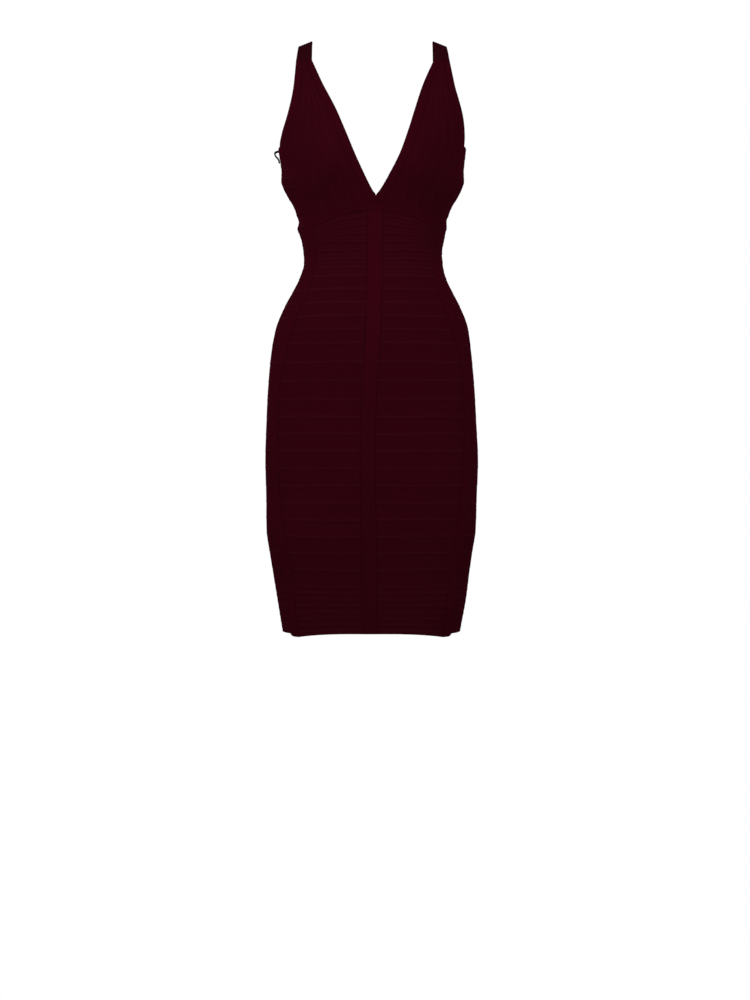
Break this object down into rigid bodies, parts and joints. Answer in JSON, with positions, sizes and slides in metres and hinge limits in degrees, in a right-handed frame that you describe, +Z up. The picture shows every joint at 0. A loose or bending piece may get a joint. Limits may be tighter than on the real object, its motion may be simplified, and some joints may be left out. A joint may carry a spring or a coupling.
{
  "type": "bodycon dress",
  "caption": "Sleeveless bodycon dress of knitted bands with a deep V neck, banded cups, wide straps, contour bands and a back zip, hollow as worn.",
  "frame": {"origin": "midway between the two shoulder straps, at the height of the wearer's shoulders, where the dress hangs from the wearer", "axes": "+Z up the wearer's body, -Y towards the front of the dress, +X towards the wearer's left"},
  "size_m": [0.3299, 0.2307, 0.9184],
  "materials": {
    "knit_panel": "matt dark wine rayon knit in horizontal bands",
    "knit_band": "matt dark wine rayon knit band, ribbed along its length",
    "zip_cloth": "woven zip tape",
    "zip_metal": "dark nickel zip metal",
    "loop_ribbon": "black satin cord"
  },
  "bodies": {
    "dress": {"strap_right": "knit_band", "strap_left": "knit_band", "neckline_band_right": "knit_band", "neckline_band_left": "knit_band", "cup_right": "knit_panel", "cup_left": "knit_panel", "front_panel_right": "knit_panel", "front_panel_left": "knit_panel", "contour_band_right": "knit_band", "contour_band_left": "knit_band", "side_panel_right": "knit_panel", "side_panel_left": "knit_panel", "back_panel_right": "knit_panel", "back_panel_left": "knit_panel", "underbust_band": "knit_band", "centre_front_band": "knit_band", "zip_tape": "zip_cloth", "zip_slider": "zip_metal", "hanger_loop": "loop_ribbon"},
    "zip_pull": {"zip_pull": "zip_metal"}
  },
  "joints": [
    {"name": "zip_pull_hinge", "type": "hinge", "parent": "dress", "child": "zip_pull", "pos_m": [0, 0.09307, -0.243], "axis": [1, 0, 0], "range_deg": [0, 165]}
  ]
}
